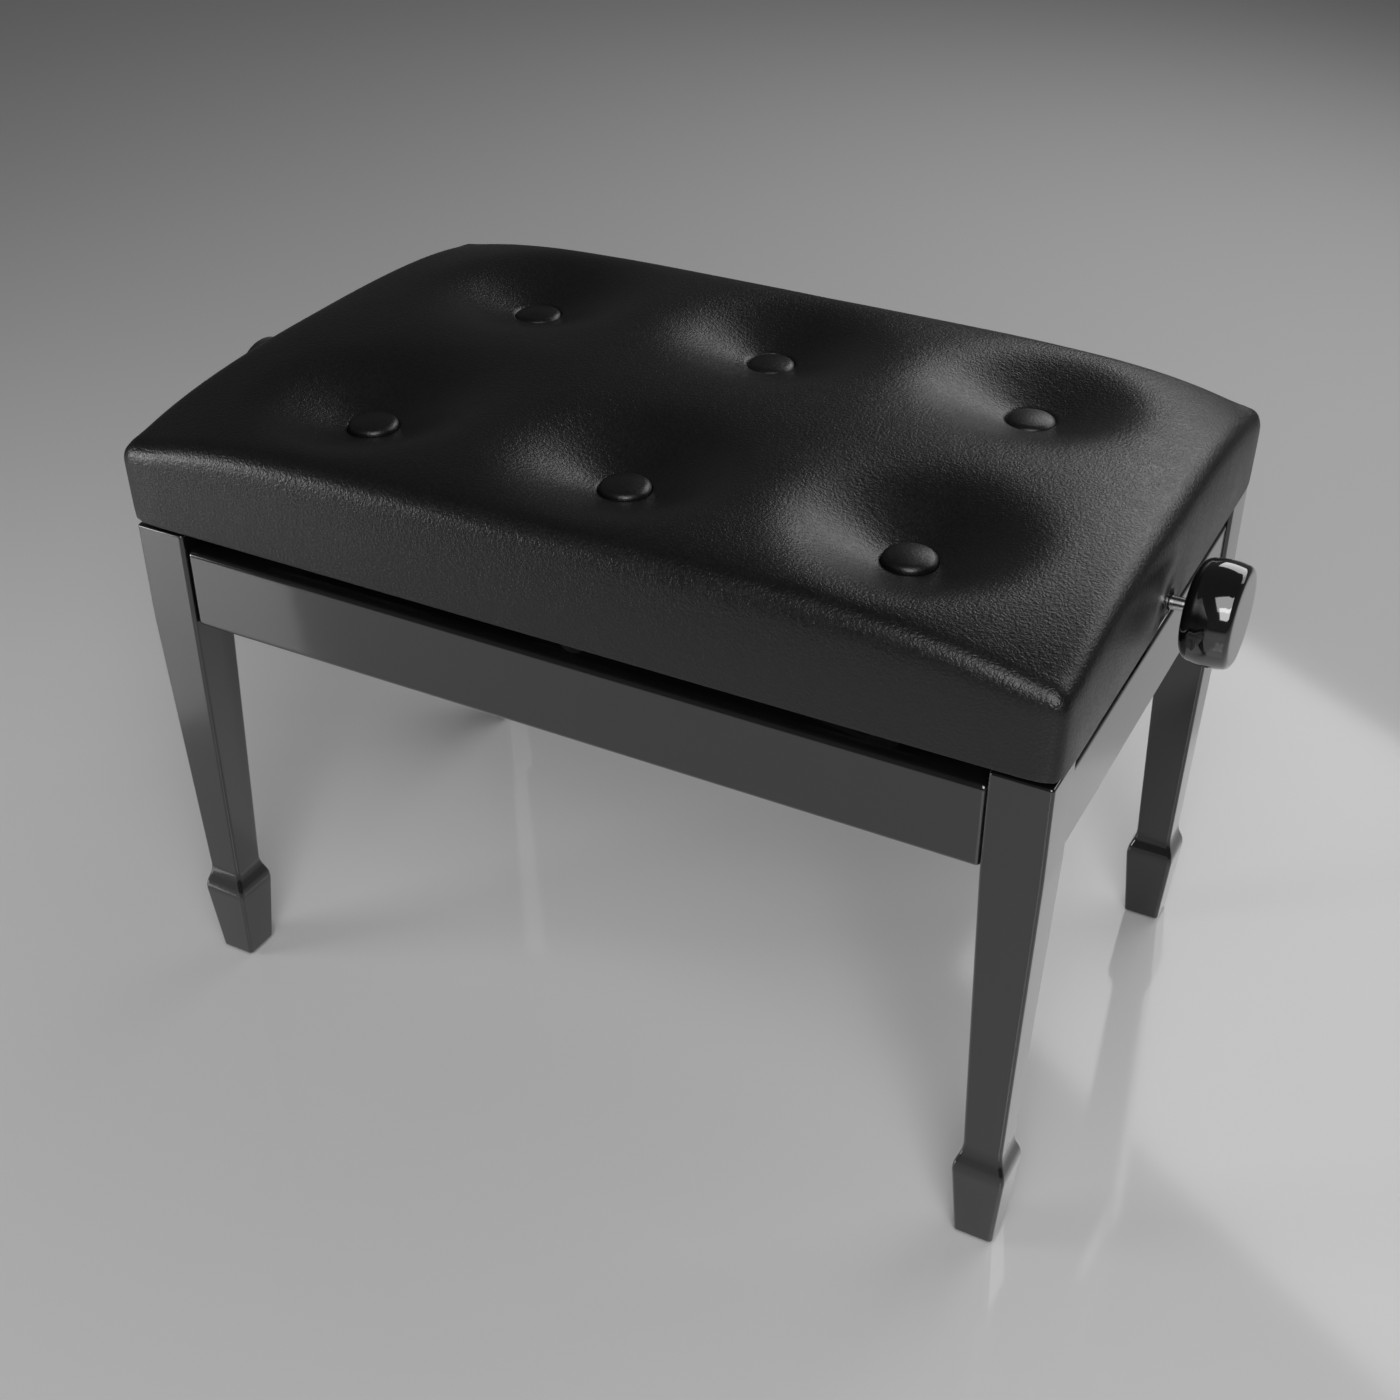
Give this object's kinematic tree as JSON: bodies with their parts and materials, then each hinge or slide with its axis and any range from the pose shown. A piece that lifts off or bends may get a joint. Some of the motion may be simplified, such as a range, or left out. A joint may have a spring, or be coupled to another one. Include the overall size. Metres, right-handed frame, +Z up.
{
  "type": "piano bench",
  "caption": "Height-adjustable piano bench with a tufted, padded top, lacquered square legs and a scissor lift turned by side knobs.",
  "frame": {"origin": "on the floor, under the centre of the bench", "axes": "+X along the bench to the right, towards one knob, +Y to the back, +Z up"},
  "size_m": [0.676, 0.377, 0.424],
  "materials": {
    "lacquered_wood": "high-gloss black polyester lacquer",
    "bare_wood": "sanded, unfinished",
    "plywood": "sanded plywood",
    "leather": "fine-grained leatherette, satin",
    "foam": "open-cell foam",
    "painted_steel": "satin black paint",
    "zinc_steel": "bright zinc plating",
    "chrome": "polished",
    "brass": "turned",
    "nylon": "matt",
    "knob_gloss": "high gloss"
  },
  "bodies": {
    "base": {"leg_front_left": "lacquered_wood", "leg_front_right": "lacquered_wood", "leg_back_left": "lacquered_wood", "leg_back_right": "lacquered_wood", "apron_front": "lacquered_wood", "apron_back": "lacquered_wood", "apron_left": "lacquered_wood", "apron_right": "lacquered_wood", "apron_dowels": "bare_wood", "corner_block_front_left": "bare_wood", "corner_block_front_right": "bare_wood", "corner_block_back_left": "bare_wood", "corner_block_back_right": "bare_wood", "corner_bolts": "zinc_steel", "corner_nuts": "zinc_steel", "foot_glides": "nylon", "base_rail_front": "painted_steel", "base_rail_back": "painted_steel", "base_rail_screws": "zinc_steel", "base_pivot_rod": "painted_steel", "base_pivot_washers": "nylon"},
    "outer_arms": {"outer_arm_front": "painted_steel", "outer_arm_back": "painted_steel", "centre_rivets": "zinc_steel", "centre_washers": "nylon"},
    "inner_arms": {"inner_arm_front": "painted_steel", "inner_arm_back": "painted_steel", "slide_rod": "painted_steel", "slide_rollers": "nylon", "slide_sleeves": "nylon"},
    "seat": {"seat_frame_front": "bare_wood", "seat_frame_back": "bare_wood", "seat_frame_left": "bare_wood", "seat_frame_right": "bare_wood", "seat_deck": "plywood", "deck_screws": "zinc_steel", "foam_pad": "foam", "seat_cover": "leather", "cover_buttons": "leather", "button_anchors": "zinc_steel", "seat_rail_front": "painted_steel", "seat_rail_back": "painted_steel", "seat_rail_screws": "zinc_steel", "bearing_bar": "painted_steel", "bearing_sleeves": "nylon", "rod_bushes": "nylon"},
    "nut_bar": {"nut_bar": "painted_steel", "nut_insert": "brass", "nut_bar_rollers": "nylon", "nut_bar_washers": "nylon"},
    "screw": {"screw_rod": "chrome", "thrust_collars": "zinc_steel", "collar_screws": "painted_steel", "knob_left": "knob_gloss", "knob_right": "knob_gloss", "knob_hubs": "brass"}
  },
  "joints": [
    {"name": "seat_lift", "type": "hinge", "parent": "base", "child": "outer_arms", "pos_m": [-0.1885, 0, 0.30871], "axis": [0, -1, 0], "range_deg": [0, 18]},
    {"name": "arm_cross", "type": "hinge", "parent": "outer_arms", "child": "inner_arms", "pos_m": [0, 0, 0.33186], "axis": [0, -1, 0], "range_deg": [-36, 0]},
    {"name": "seat_level", "type": "hinge", "parent": "inner_arms", "child": "seat", "pos_m": [-0.1885, 0, 0.355], "axis": [0, -1, 0], "range_deg": [0, 18]},
    {"name": "nut_level", "type": "hinge", "parent": "outer_arms", "child": "nut_bar", "pos_m": [0.1885, 0, 0.355], "axis": [0, -1, 0], "range_deg": [-18, 0]},
    {"name": "knob_turn", "type": "hinge", "parent": "seat", "child": "screw", "pos_m": [0, 0, 0.355], "axis": [1, 0, 0], "range_deg": [0, 3931.7]}
  ],
  "couplings": [
    {"joint": "arm_cross", "follows": "seat_lift", "ratio": -2},
    {"joint": "seat_level", "follows": "seat_lift", "ratio": 1},
    {"joint": "nut_level", "follows": "seat_lift", "ratio": -1},
    {"joint": "knob_turn", "follows": "seat_lift", "ratio": 218.37}
  ]
}
